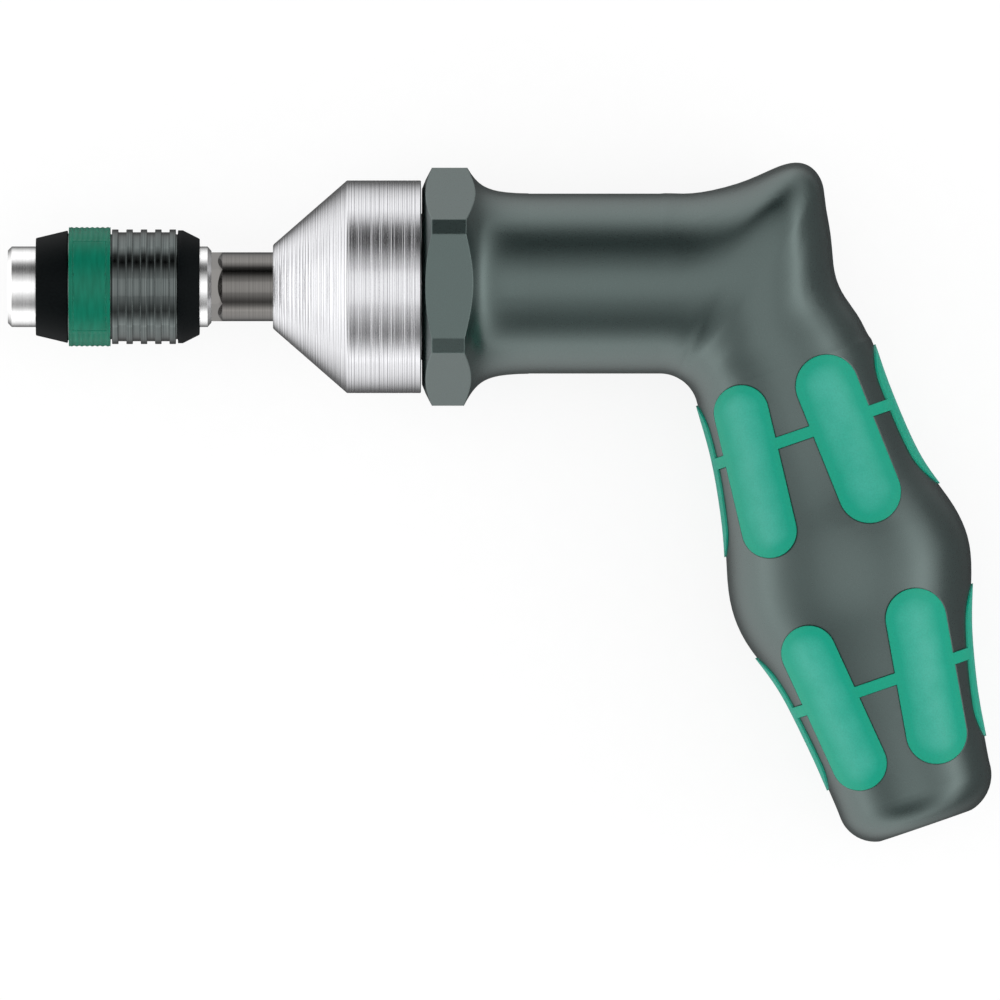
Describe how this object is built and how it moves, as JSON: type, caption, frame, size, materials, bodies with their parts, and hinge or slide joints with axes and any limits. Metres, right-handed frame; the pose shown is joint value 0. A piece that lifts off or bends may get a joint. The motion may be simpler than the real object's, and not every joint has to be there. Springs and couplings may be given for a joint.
{
  "type": "torque screwdriver",
  "caption": "Pistol-grip torque screwdriver: black moulded grip with green soft pads, aluminium nose and a quick-change chuck for hex bits.",
  "frame": {"origin": "centre of the mouth of the bit socket, on the drive axis", "axes": "+X along the drive axis from the mouth towards the handle, +Y from the grip up to the barrel, +Z out of the side that faces up when the tool lies on its hex collar"},
  "size_m": [0.1549, 0.107, 0.0338],
  "materials": {
    "black_plastic": "satin moulded, fine grain",
    "green_soft": "matt soft plastic",
    "green_plastic": "satin moulded",
    "aluminium": "fine turned",
    "black_steel": "blackened, semi-gloss",
    "bright_steel": "polished nickel",
    "black_coated": "black, semi-gloss",
    "matt_black": "black, matt",
    "plain_steel": "ground",
    "spring_steel": "oiled",
    "bronze": "sintered",
    "brass": "plain"
  },
  "bodies": {
    "handle": {"handle_shell": "black_plastic", "soft_zone_upper": "green_soft", "soft_zone_lower": "green_soft", "nose_housing": "aluminium", "front_bush": "bronze", "thrust_washer_front": "plain_steel", "clutch_tube": "plain_steel", "main_spring": "spring_steel", "rear_plug": "plain_steel"},
    "drive": {"output_shaft": "black_steel", "thrust_washer_rear": "plain_steel", "driven_cam": "plain_steel", "chuck_body": "bright_steel", "chuck_snap_ring": "spring_steel", "chuck_spring": "spring_steel"},
    "bearing_cage": {"thrust_cage": "brass", "thrust_balls": "plain_steel"},
    "sliding_cam": {"driving_cam": "plain_steel"},
    "setting_screw": {"torque_screw": "plain_steel"},
    "seat": {"spring_seat": "plain_steel"},
    "release": {"release_ring": "plain_steel", "release_ring_stop": "plain_steel"},
    "sleeve": {"ribbed_sleeve": "black_coated", "front_collar": "matt_black", "colour_ring": "green_plastic", "rear_collar": "matt_black"},
    "ball_upper": {"locking_ball_upper": "plain_steel"},
    "ball_lower": {"locking_ball_lower": "plain_steel"}
  },
  "joints": [
    {"name": "drive_slip", "type": "hinge", "parent": "handle", "child": "drive", "pos_m": [0.05, 0, 0], "axis": [1, 0, 0], "range_deg": [0, 40], "stiffness_Nm_per_rad": 0.02, "springref_deg": -20.05},
    {"name": "cam_lift", "type": "slide", "parent": "handle", "child": "sliding_cam", "axis": [1, 0, 0], "range_m": [0, 0.00201], "deforming": ["main_spring"]},
    {"name": "cage_turn", "type": "hinge", "parent": "handle", "child": "bearing_cage", "pos_m": [0.0538, 0, 0], "axis": [1, 0, 0], "range_deg": [0, 20.1]},
    {"name": "screw_turn", "type": "hinge", "parent": "handle", "child": "setting_screw", "pos_m": [0.1, 0, 0], "axis": [1, 0, 0], "range_deg": [0, 1440]},
    {"name": "seat_travel", "type": "slide", "parent": "handle", "child": "seat", "axis": [-1, 0, 0], "range_m": [0, 0.00401], "deforming": ["main_spring"]},
    {"name": "release_slide", "type": "slide", "parent": "drive", "child": "release", "axis": [-1, 0, 0], "range_m": [0, 0.003], "stiffness_N_per_m": 1500, "springref_m": -0.002, "deforming": ["chuck_spring"]},
    {"name": "sleeve_turn", "type": "hinge", "parent": "release", "child": "sleeve", "pos_m": [0.017, 0, 0], "axis": [1, 0, 0], "continuous": true},
    {"name": "ball_upper_out", "type": "slide", "parent": "drive", "child": "ball_upper", "axis": [0, 0, 1], "range_m": [0, 0.00067]},
    {"name": "ball_lower_out", "type": "slide", "parent": "drive", "child": "ball_lower", "axis": [0, 0, -1], "range_m": [0, 0.00067]}
  ],
  "couplings": [
    {"joint": "cam_lift", "follows": "drive_slip", "m_per_rad": 0.0028648},
    {"joint": "cage_turn", "follows": "drive_slip", "ratio": 0.5},
    {"joint": "seat_travel", "follows": "screw_turn", "m_per_rad": 0.00015915},
    {"joint": "ball_upper_out", "follows": "release_slide", "ratio": 0.2217},
    {"joint": "ball_lower_out", "follows": "release_slide", "ratio": 0.2217}
  ]
}
